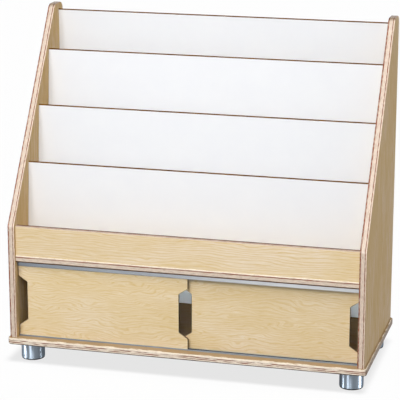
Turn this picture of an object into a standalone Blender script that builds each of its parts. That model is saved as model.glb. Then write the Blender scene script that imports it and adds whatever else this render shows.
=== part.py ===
"""A free-standing book rack: tiers of display panels over a cabinet with two sliding doors.

Metres, +Z up, front towards -Y. The origin is on the floor under the middle of the base plate.
Run with: blender --background --python part.py
"""

import math

import bmesh
import bpy
from mathutils import Matrix, Vector

OBJECT_NAME = "book_rack"
CUTTER_COLLECTION = "cutters"

# Fits
FIT_GAP = 0.0003
CUT_PAST = 0.002

# Plywood carcass
PLY = 0.018
SIDE_SPAN = 0.914
SIDE_DEPTH = 0.403
SIDE_HEIGHT = 0.8045
SIDE_TOP_WIDTH = 0.060
SIDE_TOP_FRONT_RADIUS = 0.020
SIDE_TOP_REAR_RADIUS = 0.020
SIDE_BEND_RADIUS = 0.014
PLY_EDGE_ROUND = 0.0022
BASE_OVERHANG = 0.006
BASE_CORNER_RADIUS = 0.011
BASE_EDGE_ROUND = 0.0035
GROOVE_DEPTH = 0.006

# Cabinet shelf and front lip
CABINET_HEIGHT = 0.199
SHELF_RECESS = 0.0055
LIP_HEIGHT = 0.0757
LIP_SETBACK = 0.0025
BEND_ABOVE_LIP = 0.0010

# Display panels, ledges and back
TIERS = 4
PANEL_THICKNESS = 0.006
PANEL_LEAN = math.radians(4.7)
PANEL_RISE = 0.2186
FIRST_PANEL_DEPTH = 0.120
LAST_FLOOR_DROP = 0.1954
LEDGE_THICKNESS = 0.012
LEDGE_BEHIND_PANEL = 0.003
BACK_THICKNESS = 0.006
BACK_INSET = 0.027
BACK_TOP_DROP = 0.0162

# Tracks and doors
TRACK_RECESS = 0.0168
TRACK_WALL = 0.0012
TRACK_WEB = 0.0016
TOP_TRACK_HEIGHT = 0.0118
BOTTOM_TRACK_HEIGHT = 0.0052
BOTTOM_TRACK_SINK = 0.0022
DOOR_THICKNESS = 0.0064
DOOR_PLAY = 0.0008
DOOR_TOP_ENTRY = 0.006
DOOR_OVERLAP = 0.016
DOOR_END_GAP = 0.0012
DOOR_EDGE_ROUND = 0.0008
NOTCH_DEPTH = 0.0232
NOTCH_OPENING = 0.131
NOTCH_SLANT = 0.0156
NOTCH_CORNER_RADIUS = 0.004

# Feet
FOOT_RADIUS = 0.030
FOOT_HEIGHT = 0.0472
FOOT_EDGE = 0.001
FOOT_SIDE_INSET = 0.0465
FOOT_FRONT_INSET = 0.062
FOOT_REAR_INSET = 0.049
GLIDE_RADIUS = 0.0292
GLIDE_THICKNESS = 0.0026
GLIDE_EDGE = 0.0006
GLIDE_SPIGOT_RADIUS = 0.006
GLIDE_SPIGOT_LENGTH = 0.006
STUD_RADIUS = 0.004
STUD_IN_FOOT = 0.015
STUD_COVER = 0.005
STUD_CHAMFER = 0.0008

# Fasteners
SIDE_SCREWS = 3
SIDE_SCREW_PITCH = 0.070
SIDE_SCREW_RADIUS = 0.003
SIDE_SCREW_IN_SIDE = 0.034
SIDE_SCREW_HEAD_RADIUS = 0.005
SIDE_SCREW_HEAD_HEIGHT = 0.003
TRACK_SCREWS = 3
TRACK_SCREW_PITCH = 0.380
TRACK_SCREW_RADIUS = 0.0012
TRACK_SCREW_IN_WOOD = 0.010
TRACK_SCREW_HEAD_RADIUS = 0.0025
TRACK_SCREW_HEAD_HEIGHT = 0.0013
SCREW_TIP = 0.002
DOWEL_RADIUS = 0.004
DOWEL_COVER = 0.003
DOWEL_CHAMFER = 0.001
LIP_DOWELS = 3
LIP_DOWEL_PITCH = 0.320

# Facets
FOOT_SEGMENTS = 48
SMALL_SEGMENTS = 16
ARC_STEPS = 6
ROUND_SEGMENTS = 2

# Places that follow from the sizes above
INNER_HALF = SIDE_SPAN / 2 - PLY
FRONT = -SIDE_DEPTH / 2
REAR = SIDE_DEPTH / 2
FOOT_BOTTOM = GLIDE_THICKNESS + FIT_GAP
FOOT_TOP = FOOT_BOTTOM + FOOT_HEIGHT
BASE_BOTTOM = FOOT_TOP + FIT_GAP
BASE_TOP = BASE_BOTTOM + PLY
SIDE_BOTTOM = BASE_TOP + FIT_GAP
SIDE_TOP = SIDE_BOTTOM + SIDE_HEIGHT
SHELF_BOTTOM = BASE_TOP + CABINET_HEIGHT
SHELF_TOP = SHELF_BOTTOM + PLY
SHELF_FRONT = FRONT + SHELF_RECESS
LIP_FRONT = SHELF_FRONT + LIP_SETBACK
LIP_BOTTOM = SHELF_TOP + FIT_GAP
LIP_TOP = LIP_BOTTOM + LIP_HEIGHT
BEND = LIP_TOP + BEND_ABOVE_LIP
TOP_FRONT = REAR - SIDE_TOP_WIDTH
BACK_REAR = REAR - BACK_INSET
BACK_FRONT = BACK_REAR - BACK_THICKNESS
BACK_TOP = SIDE_TOP - BACK_TOP_DROP
FIRST_PANEL = FRONT + FIRST_PANEL_DEPTH
LAST_FLOOR = SIDE_TOP - LAST_FLOOR_DROP
CHANNEL = DOOR_THICKNESS + 2 * DOOR_PLAY
TRACK_FRONT = FRONT + TRACK_RECESS
TRACK_DEPTH = 3 * TRACK_WALL + 2 * CHANNEL
FRONT_CHANNEL = TRACK_FRONT + TRACK_WALL + CHANNEL / 2
REAR_CHANNEL = FRONT_CHANNEL + CHANNEL + TRACK_WALL
TOP_TRACK_TOP = SHELF_BOTTOM - FIT_GAP
TOP_TRACK_BOTTOM = TOP_TRACK_TOP - TOP_TRACK_HEIGHT
TRACK_GROOVE_FLOOR = BASE_TOP - BOTTOM_TRACK_SINK
BOTTOM_TRACK_BOTTOM = TRACK_GROOVE_FLOOR + FIT_GAP
BOTTOM_TRACK_TOP = BOTTOM_TRACK_BOTTOM + BOTTOM_TRACK_HEIGHT
DOOR_BOTTOM = BOTTOM_TRACK_BOTTOM + TRACK_WEB + FIT_GAP
DOOR_TOP = TOP_TRACK_BOTTOM + DOOR_TOP_ENTRY
DOOR_WIDTH = INNER_HALF + DOOR_OVERLAP / 2 - DOOR_END_GAP
NOTCH_MIDDLE = (BOTTOM_TRACK_TOP + TOP_TRACK_BOTTOM) / 2
DOWEL_DEPTH = PLY - DOWEL_COVER


def clear_scene():
    for obj in list(bpy.data.objects):
        bpy.data.objects.remove(obj)


def new_collection(name, hidden=False):
    collection = bpy.data.collections.new(name)
    collection.hide_render = hidden
    bpy.context.scene.collection.children.link(collection)
    return collection


def new_material(name, colour, roughness, metallic=0.0):
    material = bpy.data.materials.new(name)
    material.use_nodes = True
    shader = material.node_tree.nodes["Principled BSDF"]
    shader.inputs["Base Color"].default_value = (*colour, 1.0)
    shader.inputs["Roughness"].default_value = roughness
    shader.inputs["Metallic"].default_value = metallic
    return material


def place(obj, collection):
    """Moves an object out of whatever collection it was made in, into the given one."""
    for owner in list(obj.users_collection):
        owner.objects.unlink(obj)
    collection.objects.link(obj)


def box(name, low, high):
    """A box between two corners, with its scale applied."""
    low = Vector(low)
    high = Vector(high)
    bpy.ops.mesh.primitive_cube_add(size=1.0, location=(low + high) / 2)
    obj = bpy.context.object
    obj.name = name
    obj.data.transform(Matrix.Diagonal((*(high - low), 1.0)))
    return obj


def rounded_outline(corners):
    """Points of a closed outline from (x, y, radius) corners. A radius of 0 leaves the corner sharp."""
    points = []
    for index, (x, y, radius) in enumerate(corners):
        corner = Vector((x, y))
        if radius == 0:
            points.append(corner)
            continue
        before = (Vector(corners[index - 1][:2]) - corner).normalized()
        after = (Vector(corners[(index + 1) % len(corners)][:2]) - corner).normalized()
        half_angle = before.angle(after) / 2
        centre = corner + (before + after).normalized() * (radius / math.sin(half_angle))
        start = corner + before * (radius / math.tan(half_angle)) - centre
        end = corner + after * (radius / math.tan(half_angle)) - centre
        turn = start.angle_signed(end)
        for step in range(ARC_STEPS + 1):
            points.append(centre + Matrix.Rotation(-turn * step / ARC_STEPS, 2) @ start)
    return points


def plate(name, outline, thickness, turn):
    """A flat sheet cut to an outline, centred on its own plane and turned by a matrix, as a closed mesh."""
    curve = bpy.data.curves.new(name, "CURVE")
    curve.dimensions = "2D"
    curve.fill_mode = "BOTH"
    curve.extrude = thickness / 2
    spline = curve.splines.new("POLY")
    spline.points.add(len(outline) - 1)
    for point, (x, y) in zip(spline.points, outline):
        point.co = (x, y, 0.0, 1.0)
    spline.use_cyclic_u = True
    sheet = bpy.data.objects.new(name + "_outline", curve)
    bpy.context.scene.collection.objects.link(sheet)
    graph = bpy.context.evaluated_depsgraph_get()
    mesh = bpy.data.meshes.new_from_object(sheet.evaluated_get(graph))
    bpy.data.objects.remove(sheet)
    shape = bmesh.new()
    shape.from_mesh(mesh)
    bmesh.ops.remove_doubles(shape, verts=shape.verts, dist=1e-6)
    bmesh.ops.dissolve_limit(shape, angle_limit=math.radians(1), verts=shape.verts, edges=shape.edges)
    shape.to_mesh(mesh)
    shape.free()
    mesh.transform(turn)
    obj = bpy.data.objects.new(name, mesh)
    bpy.context.scene.collection.objects.link(obj)
    return obj


def turned(name, profile, segments):
    """A shape turned round its own Z axis from (radius, height) points, listed from top to bottom."""
    mesh = bpy.data.meshes.new(name)
    points = [(radius, 0.0, height) for radius, height in profile]
    links = [(index, index + 1) for index in range(len(points) - 1)]
    mesh.from_pydata(points, links, [])
    obj = bpy.data.objects.new(name, mesh)
    bpy.context.scene.collection.objects.link(obj)
    screw = obj.modifiers.new("turn", "SCREW")
    screw.steps = segments
    screw.render_steps = segments
    screw.use_merge_vertices = True
    screw.merge_threshold = 1e-5
    screw.use_smooth_shade = True
    return obj


def round_edges(obj, radius, wanted):
    """Rounds those sharp edges of a mesh for which the wanted test is true."""
    shape = bmesh.new()
    shape.from_mesh(obj.data)
    edges = []
    for edge in shape.edges:
        sharp = edge.calc_face_angle(0.0) > math.radians(40)
        if sharp and wanted(edge):
            edges.append(edge)
    bmesh.ops.bevel(
        shape,
        geom=edges,
        offset=radius,
        segments=ROUND_SEGMENTS,
        profile=0.5,
        affect="EDGES",
        clamp_overlap=True,
    )
    shape.to_mesh(obj.data)
    shape.free()


def cut(obj, cutter, cutters):
    """Takes the cutter's shape out of the object."""
    place(cutter, cutters)
    cutter.hide_render = True
    cutter.display_type = "WIRE"
    boolean = obj.modifiers.new("cut " + cutter.name, "BOOLEAN")
    boolean.operation = "DIFFERENCE"
    boolean.solver = "EXACT"
    boolean.object = cutter


def finish_piece(obj, collection, material):
    place(obj, collection)
    obj.data.materials.clear()
    obj.data.materials.append(material)
    obj.data.shade_smooth()
    obj.data.set_sharp_from_angle(angle=math.radians(35))
    return obj


def tier_floor(tier):
    """Height of the floor that a tier's books stand on, from 1 at the front to TIERS at the back."""
    return SHELF_TOP + (LAST_FLOOR - SHELF_TOP) * (tier - 1) / (TIERS - 1)


def panel_top(tier):
    """Height of a leaning panel's top edge."""
    return tier_floor(tier) + PANEL_RISE


def panel_middle(tier, height):
    """Depth of a leaning panel's middle plane at a height. The top edges are evenly spaced up to the back."""
    top_depth = FIRST_PANEL + (BACK_REAR - FIRST_PANEL) * (tier - 1) / (TIERS - 1)
    return top_depth - (panel_top(tier) - height) * math.tan(PANEL_LEAN)


def panel_face(tier, height, gap):
    """Depth of a leaning panel's rear face at a height, moved back by a gap."""
    return panel_middle(tier, height) + (PANEL_THICKNESS / 2 + gap) / math.cos(PANEL_LEAN)


def panel_section(tier, gap):
    """Corners (depth, height, radius) of a leaning panel's end, grown all round by a gap."""
    bottom = tier_floor(tier) + FIT_GAP - gap
    top = panel_top(tier) + gap
    thickness = (PANEL_THICKNESS + 2 * gap) / math.cos(PANEL_LEAN)
    return [
        (panel_face(tier, bottom, gap) - thickness, bottom, 0),
        (panel_face(tier, bottom, gap), bottom, 0),
        (panel_face(tier, top, gap), top, 0),
        (panel_face(tier, top, gap) - thickness, top, 0),
    ]


def ledge_section(tier, gap):
    """Corners of the ledge that a tier above the first stands on, grown all round by a gap.

    Its front is planed to the lean of the panel before it, and its rear runs under the tier's own panel or
    up to the back.
    """
    bottom = tier_floor(tier) - LEDGE_THICKNESS - gap
    top = tier_floor(tier) + gap
    if tier < TIERS:
        rear = panel_face(tier, tier_floor(tier), 0.0) + LEDGE_BEHIND_PANEL + gap
    else:
        rear = BACK_FRONT - FIT_GAP + gap
    return [
        (panel_face(tier - 1, bottom, FIT_GAP - gap), bottom, 0),
        (rear, bottom, 0),
        (rear, top, 0),
        (panel_face(tier - 1, top, FIT_GAP - gap), top, 0),
    ]


def across(name, outline, half_width, middle=0.0):
    """A sheet whose outline is drawn in (depth, height) and which runs along X."""
    turn = Matrix(((0, 0, 1, middle), (1, 0, 0, 0), (0, 1, 0, 0), (0, 0, 0, 1)))
    return plate(name, rounded_outline(outline), 2 * half_width, turn)


def countersunk(name, shank_radius, length, head_radius, head_height, gap=0.0):
    """A countersunk screw, or its hole, pointing up: the head's flat face is at height 0 and below it."""
    tip = min(SCREW_TIP, length / 3)
    profile = [
        (0.0, length + gap),
        (shank_radius / 2 + gap, length + gap),
        (shank_radius + gap, length - tip + gap),
        (shank_radius + gap, head_height),
        (head_radius + gap, 0.0),
    ]
    if gap > 0:
        profile.append((head_radius + gap, -CUT_PAST))
        profile.append((0.0, -CUT_PAST))
    else:
        profile.append((0.0, 0.0))
    return turned(name, profile, SMALL_SEGMENTS)


def pin(name, radius, low, high, chamfer, gap=0.0):
    """A round pin along Z with chamfered ends, or its hole, between two heights."""
    profile = [
        (0.0, high + gap),
        (radius - chamfer + gap, high + gap),
        (radius + gap, high - chamfer + gap),
        (radius + gap, low + chamfer - gap),
        (radius - chamfer + gap, low - gap),
        (0.0, low - gap),
    ]
    return turned(name, profile, SMALL_SEGMENTS)


def foot_places():
    base_half = SIDE_SPAN / 2 + BASE_OVERHANG
    x = base_half - FOOT_SIDE_INSET
    front = FRONT - BASE_OVERHANG + FOOT_FRONT_INSET
    rear = REAR + BASE_OVERHANG - FOOT_REAR_INSET
    return {
        "front_left": (-x, front),
        "front_right": (x, front),
        "rear_left": (-x, rear),
        "rear_right": (x, rear),
    }


def side_screw_places(side):
    """Middle of each screw that holds a side panel, on the base plate's underside."""
    x = side * (SIDE_SPAN / 2 - PLY / 2)
    first = -(SIDE_SCREWS - 1) / 2
    return [(x, (first + index) * SIDE_SCREW_PITCH) for index in range(SIDE_SCREWS)]


def track_screw_places():
    first = -(TRACK_SCREWS - 1) / 2
    return [((first + index) * TRACK_SCREW_PITCH, REAR_CHANNEL) for index in range(TRACK_SCREWS)]


def lip_dowel_places():
    first = -(LIP_DOWELS - 1) / 2
    return [((first + index) * LIP_DOWEL_PITCH, LIP_FRONT + PLY / 2) for index in range(LIP_DOWELS)]


def lip_end_height():
    return (LIP_BOTTOM + LIP_TOP) / 2


def stud_piece(name, spot, gap=0.0):
    obj = pin(name, STUD_RADIUS, FOOT_TOP - STUD_IN_FOOT, BASE_TOP - STUD_COVER, STUD_CHAMFER, gap)
    obj.location = (*spot, 0.0)
    return obj


def side_screw_piece(name, spot, gap=0.0):
    length = PLY + FIT_GAP + SIDE_SCREW_IN_SIDE
    obj = countersunk(
        name, SIDE_SCREW_RADIUS, length, SIDE_SCREW_HEAD_RADIUS, SIDE_SCREW_HEAD_HEIGHT, gap
    )
    obj.location = (*spot, BASE_BOTTOM + FIT_GAP)
    return obj


def track_screw_piece(name, spot, upward, gap=0.0):
    length = TRACK_WEB + FIT_GAP + TRACK_SCREW_IN_WOOD
    obj = countersunk(
        name, TRACK_SCREW_RADIUS, length, TRACK_SCREW_HEAD_RADIUS, TRACK_SCREW_HEAD_HEIGHT, gap
    )
    if upward:
        obj.location = (*spot, TOP_TRACK_TOP - TRACK_WEB)
    else:
        obj.location = (*spot, BOTTOM_TRACK_BOTTOM + TRACK_WEB)
        obj.rotation_euler = (math.pi, 0.0, 0.0)
    return obj


def lip_dowel_piece(name, spot, gap=0.0):
    obj = pin(name, DOWEL_RADIUS, SHELF_TOP - DOWEL_DEPTH, LIP_BOTTOM + DOWEL_DEPTH, DOWEL_CHAMFER, gap)
    obj.location = (*spot, 0.0)
    return obj


def lip_end_dowel_piece(name, side, gap=0.0):
    obj = pin(name, DOWEL_RADIUS, -DOWEL_DEPTH, DOWEL_DEPTH, DOWEL_CHAMFER, gap)
    obj.rotation_euler = (0.0, math.pi / 2, 0.0)
    obj.location = (side * INNER_HALF, LIP_FRONT + PLY / 2, lip_end_height())
    return obj


def make_base(collection, cutters, material):
    half_width = SIDE_SPAN / 2 + BASE_OVERHANG
    front = FRONT - BASE_OVERHANG
    rear = REAR + BASE_OVERHANG
    outline = [
        (-half_width, front, BASE_CORNER_RADIUS),
        (half_width, front, BASE_CORNER_RADIUS),
        (half_width, rear, BASE_CORNER_RADIUS),
        (-half_width, rear, BASE_CORNER_RADIUS),
    ]
    lift = Matrix.Translation((0.0, 0.0, (BASE_BOTTOM + BASE_TOP) / 2))
    base = plate("base_plate", rounded_outline(outline), PLY, lift)
    round_edges(base, BASE_EDGE_ROUND, lambda edge: True)
    groove = box(
        "track_groove",
        (-INNER_HALF, TRACK_FRONT - FIT_GAP, TRACK_GROOVE_FLOOR),
        (INNER_HALF, TRACK_FRONT + TRACK_DEPTH + FIT_GAP, BASE_TOP + CUT_PAST),
    )
    cut(base, groove, cutters)
    for name, spot in foot_places().items():
        cut(base, stud_piece("base_stud_hole_" + name, spot, FIT_GAP), cutters)
    for side in (-1, 1):
        for spot in side_screw_places(side):
            cut(base, side_screw_piece("base_side_hole", spot, FIT_GAP), cutters)
    for spot in track_screw_places():
        cut(base, track_screw_piece("base_track_hole", spot, False, FIT_GAP), cutters)
    finish_piece(base, collection, material)


def make_side(name, side, collection, cutters, material):
    outline = [
        (FRONT, SIDE_BOTTOM, 0),
        (REAR, SIDE_BOTTOM, 0),
        (REAR, SIDE_TOP, SIDE_TOP_REAR_RADIUS),
        (TOP_FRONT, SIDE_TOP, SIDE_TOP_FRONT_RADIUS),
        (FRONT, BEND, SIDE_BEND_RADIUS),
    ]
    middle = side * (SIDE_SPAN / 2 - PLY / 2)
    panel = across(name, outline, PLY / 2, middle)
    clear_of_base = SIDE_BOTTOM + PLY_EDGE_ROUND
    round_edges(
        panel,
        PLY_EDGE_ROUND,
        lambda edge: max(vert.co.z for vert in edge.verts) > clear_of_base,
    )
    groove_middle = side * INNER_HALF
    for tier in range(1, TIERS):
        section = panel_section(tier, FIT_GAP)
        cut(panel, across(f"panel_groove_{tier}", section, GROOVE_DEPTH, groove_middle), cutters)
    for tier in range(2, TIERS + 1):
        section = ledge_section(tier, FIT_GAP)
        cut(panel, across(f"ledge_groove_{tier}", section, GROOVE_DEPTH, groove_middle), cutters)
    shelf = ((SHELF_FRONT, SHELF_BOTTOM), (BACK_FRONT - FIT_GAP, SHELF_TOP))
    cut(panel, groove_for("shelf_groove", *shelf, groove_middle), cutters)
    back = ((BACK_FRONT, SIDE_BOTTOM - CUT_PAST), (BACK_REAR, BACK_TOP))
    cut(panel, groove_for("back_groove", *back, groove_middle), cutters)
    for spot in side_screw_places(side):
        cut(panel, side_screw_piece("side_hole", spot, FIT_GAP), cutters)
    cut(panel, lip_end_dowel_piece("side_dowel_hole", side, FIT_GAP), cutters)
    finish_piece(panel, collection, material)


def groove_for(name, low, high, middle):
    """A groove cutter in a side's inner face round a board with the given (depth, height) corners."""
    return box(
        name,
        (middle - GROOVE_DEPTH, low[0] - FIT_GAP, low[1] - FIT_GAP),
        (middle + GROOVE_DEPTH, high[0] + FIT_GAP, high[1] + FIT_GAP),
    )


def grooved_half():
    """Half the length of a board whose ends sit in the side panels' grooves."""
    return INNER_HALF + GROOVE_DEPTH - FIT_GAP


def make_back(collection, material):
    half = grooved_half()
    back = box("back_panel", (-half, BACK_FRONT, SIDE_BOTTOM), (half, BACK_REAR, BACK_TOP))
    finish_piece(back, collection, material)


def make_shelf(collection, cutters, material):
    half = grooved_half()
    low = (-half, SHELF_FRONT, SHELF_BOTTOM)
    high = (half, BACK_FRONT - FIT_GAP, SHELF_TOP)
    shelf = box("cabinet_shelf", low, high)
    shelf_front = SHELF_FRONT - shelf.location.y
    round_edges(shelf, PLY_EDGE_ROUND, lambda edge: runs_along_x(edge, shelf_front))
    for spot in lip_dowel_places():
        cut(shelf, lip_dowel_piece("shelf_dowel_hole", spot, FIT_GAP), cutters)
    for spot in track_screw_places():
        cut(shelf, track_screw_piece("shelf_track_hole", spot, True, FIT_GAP), cutters)
    finish_piece(shelf, collection, material)


def runs_along_x(edge, depth):
    """True for an edge along X at the given depth."""
    start, end = (vert.co for vert in edge.verts)
    level = abs(start.z - end.z) < FIT_GAP
    return level and max(abs(start.y - depth), abs(end.y - depth)) < FIT_GAP


def make_lip(collection, cutters, material):
    half = INNER_HALF - FIT_GAP
    lip = box("front_lip", (-half, LIP_FRONT, LIP_BOTTOM), (half, LIP_FRONT + PLY, LIP_TOP))
    top = LIP_TOP - lip.location.z
    round_edges(
        lip,
        PLY_EDGE_ROUND,
        lambda edge: min(vert.co.z for vert in edge.verts) > top - FIT_GAP
        and abs(edge.verts[0].co.y - edge.verts[1].co.y) < FIT_GAP,
    )
    for spot in lip_dowel_places():
        cut(lip, lip_dowel_piece("lip_dowel_hole", spot, FIT_GAP), cutters)
    for side in (-1, 1):
        cut(lip, lip_end_dowel_piece("lip_end_hole", side, FIT_GAP), cutters)
    finish_piece(lip, collection, material)


def make_display_panels(collection, material):
    for tier in range(1, TIERS):
        panel = across(f"display_panel_{tier}", panel_section(tier, 0.0), grooved_half())
        finish_piece(panel, collection, material)


def make_ledges(collection, material):
    for tier in range(2, TIERS + 1):
        ledge = across(f"ledge_{tier}", ledge_section(tier, 0.0), grooved_half())
        finish_piece(ledge, collection, material)


def track(name, web_edge, lip_edge, collection, cutters, material, screws):
    """A double channel along X. Its web is at the height web_edge, and its three walls end at lip_edge."""
    half = INNER_HALF - FIT_GAP
    low = min(web_edge, lip_edge)
    high = max(web_edge, lip_edge)
    rail = box(name, (-half, TRACK_FRONT, low), (half, TRACK_FRONT + TRACK_DEPTH, high))
    upward = lip_edge < web_edge
    web_inside = web_edge - TRACK_WEB if upward else web_edge + TRACK_WEB
    mouth = lip_edge - CUT_PAST if upward else lip_edge + CUT_PAST
    for channel in (FRONT_CHANNEL, REAR_CHANNEL):
        slot = box(
            name + "_channel",
            (-half - CUT_PAST, channel - CHANNEL / 2, min(web_inside, mouth)),
            (half + CUT_PAST, channel + CHANNEL / 2, max(web_inside, mouth)),
        )
        cut(rail, slot, cutters)
    for spot in track_screw_places():
        cut(rail, track_screw_piece(name + "_hole", spot, upward, FIT_GAP), cutters)
    finish_piece(rail, collection, material)
    for index, spot in enumerate(track_screw_places(), 1):
        screw = track_screw_piece(f"{name}_screw_{index}", spot, upward)
        finish_piece(screw, collection, screws)


def door_outline():
    """A door's outline about its middle, with a slanted finger notch in the middle of each end."""
    half = DOOR_WIDTH / 2
    inner = half - NOTCH_DEPTH
    low = NOTCH_MIDDLE - NOTCH_OPENING / 2
    high = NOTCH_MIDDLE + NOTCH_OPENING / 2
    right = [
        (half, DOOR_BOTTOM, 0),
        (half, low, 0),
        (inner, low + NOTCH_SLANT, NOTCH_CORNER_RADIUS),
        (inner, high - NOTCH_SLANT, NOTCH_CORNER_RADIUS),
        (half, high, 0),
        (half, DOOR_TOP, 0),
    ]
    left = [(-x, z, radius) for x, z, radius in reversed(right)]
    return right + left


def make_door(name, middle, channel, collection, material):
    stand = Matrix.Rotation(math.pi / 2, 4, "X")
    door = plate(name, rounded_outline(door_outline()), DOOR_THICKNESS, stand)
    round_edges(door, DOOR_EDGE_ROUND, lambda edge: True)
    door.location = (middle, channel, 0.0)
    finish_piece(door, collection, material)


def foot_profile():
    socket = STUD_RADIUS + FIT_GAP
    spigot = GLIDE_SPIGOT_RADIUS + FIT_GAP
    return [
        (0.0, FOOT_TOP - STUD_IN_FOOT - FIT_GAP),
        (socket, FOOT_TOP - STUD_IN_FOOT - FIT_GAP),
        (socket, FOOT_TOP),
        (FOOT_RADIUS - FOOT_EDGE, FOOT_TOP),
        (FOOT_RADIUS, FOOT_TOP - FOOT_EDGE),
        (FOOT_RADIUS, FOOT_BOTTOM + FOOT_EDGE),
        (FOOT_RADIUS - FOOT_EDGE, FOOT_BOTTOM),
        (spigot, FOOT_BOTTOM),
        (spigot, FOOT_BOTTOM + GLIDE_SPIGOT_LENGTH),
        (0.0, FOOT_BOTTOM + GLIDE_SPIGOT_LENGTH),
    ]


def glide_profile():
    return [
        (0.0, GLIDE_THICKNESS + GLIDE_SPIGOT_LENGTH),
        (GLIDE_SPIGOT_RADIUS, GLIDE_THICKNESS + GLIDE_SPIGOT_LENGTH),
        (GLIDE_SPIGOT_RADIUS, GLIDE_THICKNESS),
        (GLIDE_RADIUS, GLIDE_THICKNESS),
        (GLIDE_RADIUS, GLIDE_EDGE),
        (GLIDE_RADIUS - GLIDE_EDGE, 0.0),
        (0.0, 0.0),
    ]


def make_feet(collection, metal, rubber, steel):
    for name, spot in foot_places().items():
        foot = turned("foot_" + name, foot_profile(), FOOT_SEGMENTS)
        foot.location = (*spot, 0.0)
        finish_piece(foot, collection, metal)
        glide = turned("foot_glide_" + name, glide_profile(), FOOT_SEGMENTS)
        glide.location = (*spot, 0.0)
        finish_piece(glide, collection, rubber)
        finish_piece(stud_piece("foot_stud_" + name, spot), collection, steel)


def make_side_screws(collection, material):
    for side, side_name in ((-1, "left"), (1, "right")):
        for index, spot in enumerate(side_screw_places(side), 1):
            screw = side_screw_piece(f"side_screw_{side_name}_{index}", spot)
            finish_piece(screw, collection, material)


def make_dowels(collection, material):
    for index, spot in enumerate(lip_dowel_places(), 1):
        finish_piece(lip_dowel_piece(f"lip_dowel_{index}", spot), collection, material)
    for side, side_name in ((-1, "left"), (1, "right")):
        dowel = lip_end_dowel_piece("lip_end_dowel_" + side_name, side)
        finish_piece(dowel, collection, material)


def main():
    clear_scene()
    rack = new_collection(OBJECT_NAME)
    cutters = new_collection(CUTTER_COLLECTION, hidden=True)
    plywood = new_material("plywood", (0.74, 0.60, 0.41), 0.45)
    door_wood = new_material("door_plywood", (0.78, 0.64, 0.42), 0.45)
    white = new_material("white_board", (0.90, 0.90, 0.90), 0.40)
    aluminium = new_material("track_aluminium", (0.62, 0.66, 0.72), 0.35, 1.0)
    chrome = new_material("foot_metal", (0.66, 0.69, 0.73), 0.18, 1.0)
    rubber = new_material("glide_rubber", (0.02, 0.02, 0.02), 0.60)
    steel = new_material("zinc_steel", (0.55, 0.55, 0.56), 0.35, 1.0)
    beech = new_material("dowel_beech", (0.70, 0.52, 0.34), 0.60)
    make_base(rack, cutters, plywood)
    make_side("side_left", -1, rack, cutters, plywood)
    make_side("side_right", 1, rack, cutters, plywood)
    make_back(rack, white)
    make_shelf(rack, cutters, plywood)
    make_lip(rack, cutters, plywood)
    make_display_panels(rack, white)
    make_ledges(rack, plywood)
    track("top_track", TOP_TRACK_TOP, TOP_TRACK_BOTTOM, rack, cutters, aluminium, steel)
    track("bottom_track", BOTTOM_TRACK_BOTTOM, BOTTOM_TRACK_TOP, rack, cutters, aluminium, steel)
    door_offset = INNER_HALF - DOOR_END_GAP - DOOR_WIDTH / 2
    make_door("door_left", -door_offset, FRONT_CHANNEL, rack, door_wood)
    make_door("door_right", door_offset, REAR_CHANNEL, rack, door_wood)
    make_feet(rack, chrome, rubber, steel)
    make_side_screws(rack, steel)
    make_dowels(rack, beech)


main()
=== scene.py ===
"""Looks of the book rack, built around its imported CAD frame.

Metres, +Z up, front towards -Y, in the CAD part's own frame. Boards are plywood all through: the edge
materials know each veneer's depth, so cut edges show the layers and faces show grain.
"""

import math

import bmesh
import bpy
from mathutils import Matrix, Vector


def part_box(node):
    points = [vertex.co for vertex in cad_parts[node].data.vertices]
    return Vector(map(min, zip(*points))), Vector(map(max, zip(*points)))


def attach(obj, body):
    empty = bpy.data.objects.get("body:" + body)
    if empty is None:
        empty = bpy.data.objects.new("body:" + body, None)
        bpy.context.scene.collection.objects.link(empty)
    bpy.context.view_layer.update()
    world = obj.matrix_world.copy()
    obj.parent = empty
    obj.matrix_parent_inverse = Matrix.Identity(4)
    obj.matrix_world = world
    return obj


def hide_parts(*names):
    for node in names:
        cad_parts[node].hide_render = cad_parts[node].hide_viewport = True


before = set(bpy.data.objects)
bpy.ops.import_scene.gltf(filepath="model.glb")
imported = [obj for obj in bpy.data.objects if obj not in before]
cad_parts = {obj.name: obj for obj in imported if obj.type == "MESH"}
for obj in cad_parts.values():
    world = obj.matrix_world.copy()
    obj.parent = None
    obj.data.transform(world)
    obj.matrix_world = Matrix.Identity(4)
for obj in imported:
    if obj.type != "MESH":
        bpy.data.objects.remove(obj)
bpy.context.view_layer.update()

X, Y, Z = 0, 1, 2

# Sizes that the CAD boxes don't give
FIT_GAP = 0.0003
SIDE_TOP_WIDTH = 0.060
SIDE_TOP_RADIUS = 0.020
SIDE_BEND_RADIUS = 0.014
BEND_ABOVE_LIP = 0.0010
PLY_EDGE_ROUND = 0.0022
BASE_CORNER_RADIUS = 0.011
BASE_EDGE_ROUND = 0.0035
BOARD_EDGE_ROUND = 0.0026
LEDGE_EDGE_ROUND = 0.0012
TRACK_WALL = 0.0012
TRACK_WEB = 0.0016
TRACK_EDGE_ROUND = 0.0003
DOOR_EDGE_ROUND = 0.0008
NOTCH_DEPTH = 0.0232
NOTCH_OPENING = 0.131
NOTCH_SLANT = 0.0156
NOTCH_CORNER_RADIUS = 0.004
FOOT_EDGE = 0.001
GLIDE_EDGE = 0.0006
GLIDE_SPIGOT_RADIUS = 0.006

# How finely curves are drawn
ARC_STEPS = 8
FOOT_ARC_STEPS = 5
FOOT_SEGMENTS = 96
EDGE_SEGMENTS = 4
BOLD_EDGE_SEGMENTS = 6
DOOR_EDGE_SEGMENTS = 3
SMALL_EDGE_SEGMENTS = 2

# Limits for cleaning and shading meshes
MERGE_WITHIN = 1e-6
FLAT_WITHIN = math.radians(1)
ROUNDED_OVER = math.radians(40)
SMOOTH_UNDER = math.radians(35)

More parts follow.
